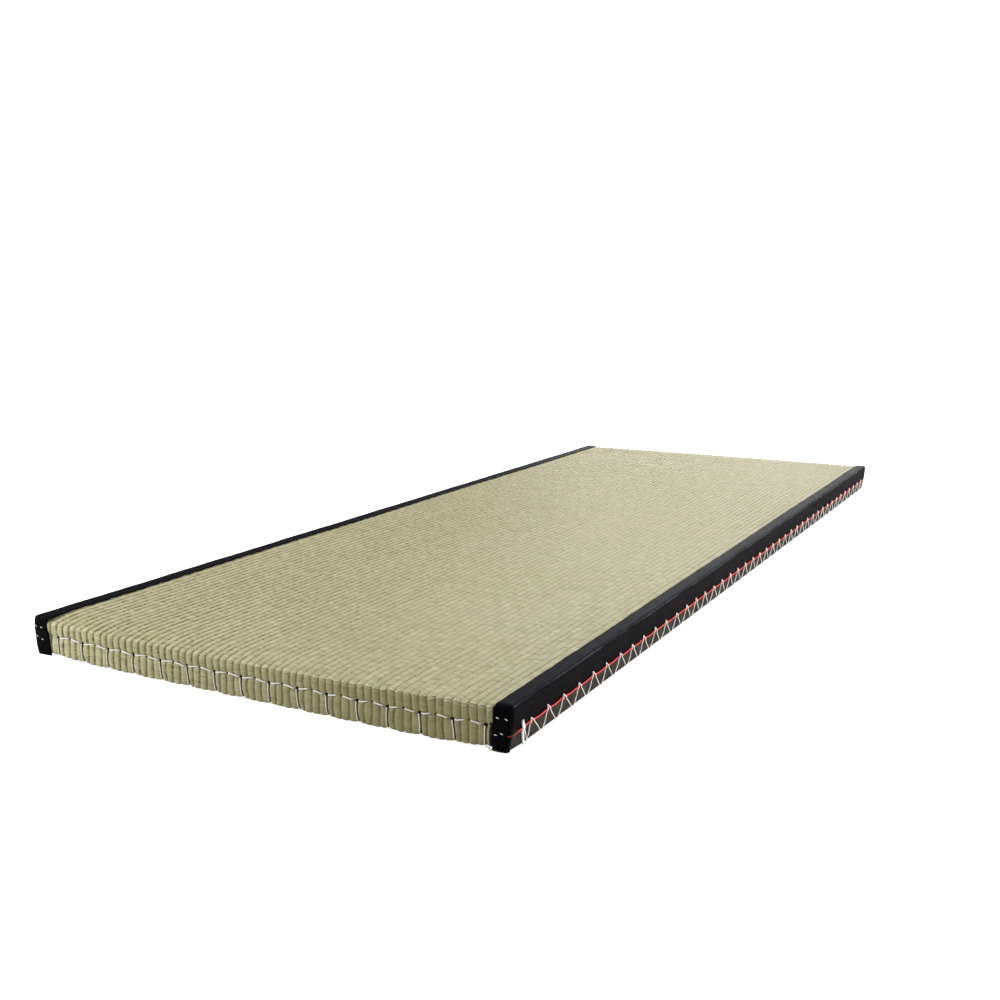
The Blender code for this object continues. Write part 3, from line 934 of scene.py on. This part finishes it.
def end_chain(end, sewing, finish, seed):
    """The chain on an end face: from each knot a thread crosses a rib or two, dives, for longer towards
    the right, and comes back to the next knot."""
    rng = np.random.default_rng(seed)
    steps = np.linspace(0, 1, 11)
    paths = []
    for knot in range(FIRST_KNOT - RIBS_PER_KNOT, RIB_COUNT, RIBS_PER_KNOT):
        turn = 0.50 + rng.uniform(-0.02, 0.02)
        longer = smooth_step(24.0, 48.0, knot)
        for begin, stop, dive_at in (
            (0.045, turn - 0.022 - 0.13 * longer, 1.0),
            (turn + 0.035, 0.945 - 0.10 * longer, 0.0),
        ):
            ribs = knot + RIBS_PER_KNOT * (begin + (stop - begin) * steps)
            x = weave_place(ribs)
            if x.min() < -INNER_EDGE + 0.002 or x.max() > INNER_EDGE - 0.001:
                continue
            away = RIB_PITCH * np.minimum(np.abs(ribs - knot), np.abs(ribs - knot - RIBS_PER_KNOT))
            z = KNOT_HEIGHT + CHAIN_RISE * smooth_step(0.0, 0.020, away) + rng.normal(0, 0.0002)
            ends_in = bell(0.0, 0.06, steps) + bell(1.0, 0.06, steps)
            sunk = 0.0016 * bell(0.0, 0.0050, away) + 0.0026 * bell(dive_at, 0.07, steps) + 0.0022 * ends_in
            paths.append(xyz(x, sewing.sign * (RUSH_END - 0.0009 - sunk + end_bow(x)), z))
    return tubes(f"end_chain_{end}", np.stack(paths), CHAIN_THREAD, finish)


def end_drops(end, sewing, finish):
    """From each knot a thread drops to the underside, leaning and bowed, in the furrow that it presses."""
    steps = np.linspace(0, 1, 14)
    z = KNOT_HEIGHT - 0.0008 + (0.0030 - KNOT_HEIGHT) * steps
    knots = np.arange(len(KNOT_RIBS))
    x = np.stack([weave_place(KNOT_RIBS[knot]) + DROP_ASIDE + sewing.shift(knot, z) for knot in knots])
    depth = 0.0021 - 0.0012 * smooth_step(0.0, 0.20, steps) + 0.0028 * smooth_step(0.85, 1.0, steps)
    y = sewing.sign * (RUSH_END - depth + end_bow(x))
    return tubes(f"end_drops_{end}", xyz(x, y, z), THREAD, finish)


def thread_tail(sewing, finish):
    """The loose end of the last drop thread, curling off along the foot of the near end."""
    steps = np.linspace(0, 1, 9)
    start = weave_place(KNOT_RIBS[-1]) + DROP_ASIDE
    x = start + 0.0076 * steps
    z = 0.0042 - 0.0022 * steps + 0.0007 * np.sin(2 * np.pi * steps)
    y = sewing.sign * (RUSH_END - 0.0016 + 0.0010 * np.sin(np.pi * steps) + end_bow(x))
    return tubes("thread_tail", xyz(x, y, z)[None], THREAD, finish)


def loose_straws(finish):
    """Frayed ends of straw that stick out under the near right corner: short bent bits, thin at the tip."""
    rng = np.random.default_rng(77)
    count = 11
    steps = np.linspace(0, 1, 7)
    x = rng.uniform(0.368, 0.387, count)
    reach = rng.uniform(0.006, 0.013, count)
    turn = rng.uniform(-0.9, 0.9, count)
    lift = rng.uniform(0.0008, 0.0022, count)
    x_path = x[:, None] + (reach * np.sin(turn))[:, None] * steps + 0.0008 * turn[:, None] * steps**2
    y_path = -(HALF_LENGTH - 0.006) - (reach * np.cos(turn))[:, None] * steps
    z_path = lift[:, None] * (1 - 0.5 * steps**2)
    radii = rng.uniform(0.0003, 0.0006, count)[:, None] * (1 - 0.6 * steps**3)
    return tubes("loose_straws", xyz(x_path, y_path, z_path), radii, finish, sides=5)


def cap_stitches(finish):
    """Four short slanting stitches hold each folded cap. They lie on its end face and dip in at their
    tips."""
    steps = np.linspace(0, 1, 5)
    places = (
        (0.3785, 0.0428), (0.3903, 0.0426), (0.3759, 0.0210), (0.3840, 0.0237),
        (-0.3986, 0.0432), (-0.3878, 0.0420), (-0.3976, 0.0277), (-0.3869, 0.0241),
    )
    slant = steps - 0.5
    lift = 0.0003 * np.sin(np.pi * steps) - 0.0002
    paths = []
    for end in (-1, 1):
        for x, z in places:
            paths.append(xyz(x + 0.0036 * slant, end * (HALF_LENGTH + lift), z - 0.0012 * slant))
    thin = 0.00060 * np.sqrt(np.sin(np.pi * (0.08 + 0.84 * steps)))
    return tubes("cap_stitches", np.stack(paths), thin, finish)


# The studio

def camera():
    data = bpy.data.cameras.new("camera")
    data.sensor_width = SENSOR
    data.lens = FOCAL_PIXELS / FRAME_PIXELS * SENSOR
    data.clip_end = 200
    obj = bpy.data.objects.new("camera", data)
    bpy.context.scene.collection.objects.link(obj)
    axes = Matrix((LOOK_RIGHT, -LOOK_DOWN, -LOOK_AHEAD)).transposed()
    obj.matrix_world = Matrix.Translation(EYE) @ axes.to_4x4()
    bpy.context.scene.camera = obj


def floor():
    """A wide plain floor, just under the mat. A light of its own, which the camera sees more of than the
    mat gets, keeps it white out to the horizon."""
    finish = Finish("pale_floor", roughness=0.95, specular=0.0)
    finish.shader.inputs["Emission Color"].default_value = (1, 1, 1, 1)
    seen_straight = finish.node("ShaderNodeLightPath").outputs["Is Camera Ray"]
    finish.feed(finish.shader.inputs["Emission Strength"], finish.range(seen_straight, 0.0, 1.0, 0.05, 0.86))
    line = np.linspace(-60.0, 60.0, 9)
    quads = grid_quads(len(line), len(line))[:, ::-1]
    piece = mesh_piece("floor", xyz(line[:, None], line, -0.0002), quads, finish.done(seen(245, 245, 245)))


def softbox(name, place, aim, size, power):
    data = bpy.data.lights.new(name, "AREA")
    data.shape = "RECTANGLE"
    data.size, data.size_y = size
    data.energy = power
    obj = bpy.data.objects.new(name, data)
    obj.visible_camera = False
    bpy.context.scene.collection.objects.link(obj)
    direction = Vector(aim) - Vector(place)
    obj.matrix_world = Matrix.Translation(place) @ direction.to_track_quat("-Z", "Y").to_matrix().to_4x4()


def world(strength):
    """A white surround that the camera sees at full white and that lights the mat more softly."""
    made = bpy.data.worlds.new("studio")
    bpy.context.scene.world = made
    made.use_nodes = True
    nodes, links = made.node_tree.nodes, made.node_tree.links
    path = nodes.new("ShaderNodeLightPath")
    level = nodes.new("ShaderNodeMapRange")
    level.inputs["To Min"].default_value = strength
    level.inputs["To Max"].default_value = 1.05
    links.new(path.outputs["Is Camera Ray"], level.inputs["Value"])
    links.new(level.outputs["Result"], nodes["Background"].inputs["Strength"])
    nodes["Background"].inputs["Color"].default_value = (1, 1, 1, 1)


def studio():
    world(0.33)
    softbox("overhead", (-0.2, 0.2, 2.5), (-0.2, 0.1, 0.0), (2.4, 3.4), 43)
    softbox("left_window", (-1.6, -2.0, 0.9), (-0.4, -0.9, 0.0), (0.9, 0.9), 30)
    softbox("far_window", (-0.2, 3.5, 0.8), (0.0, 0.8, 0.0), (3.0, 1.2), 47)
    softbox("right_window", (2.3, 0.0, 0.17), (0.4, -0.3, 0.03), (2.6, 0.26), 50)
    bpy.context.scene.view_settings.view_transform = "Standard"
    bpy.context.scene.view_settings.look = "None"


def dress(piece, slot_name, *nodes):
    """The piece rides on the mat and stands for the CAD nodes named, which are hidden. slot_name is not used.
    """
    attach(piece, "root")
    if nodes:
        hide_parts(*nodes)
    return piece


def main():
    camera()
    studio()
    floor()
    rush = rush_finish()
    black = binding_finish()
    backing = strip_finish()
    white = thread_finish("sewing_thread", (252, 251, 246), (226, 224, 214))
    red = thread_finish("red_cord", (246, 82, 72), (226, 58, 50), end_colour=(140, 26, 26))
    straw = thread_finish("loose_straw", (206, 186, 128), (150, 124, 74))

    near_sewing = EndSewing(-1, 61)
    far_sewing = EndSewing(1, 62)
    cover = dress(rush_cover(rush, near_sewing, far_sewing), "woven_rush", "rush_body")
    # Each side's seed, the depth of its inner edge's scallops, and how far out its caps lie at top and foot
    sides = (("left", 21, 0.0012, (0.0030, -0.0020)), ("right", 22, 0.0005, (-0.0026, -0.0036)))
    for side, seed, scallop_depth, cap_shift in sides:
        cloth = binding(side, black, seed, scallop_depth, cap_shift)
        dress(cloth, "binding_cloth", f"binding_{side}")
        strip = dress(side_strip(side, backing), "side_backing", f"side_strip_{side}")
        laces = dress(lacing(side, white, seed + 10), "sewing_thread")
        start = dress(first_stitch(side, white), "sewing_thread")
        cord = dress(red_cord(side, red), "red_cord")
    for end, sewing, seed in (("near", near_sewing, 51), ("far", far_sewing, 52)):
        dress(end_chain(end, sewing, white, seed), "sewing_thread")
        dress(end_drops(end, sewing, white), "sewing_thread")
    dress(cap_stitches(white), "sewing_thread")
    dress(thread_tail(near_sewing, white), "sewing_thread")
    dress(loose_straws(straw), "woven_rush")


main()
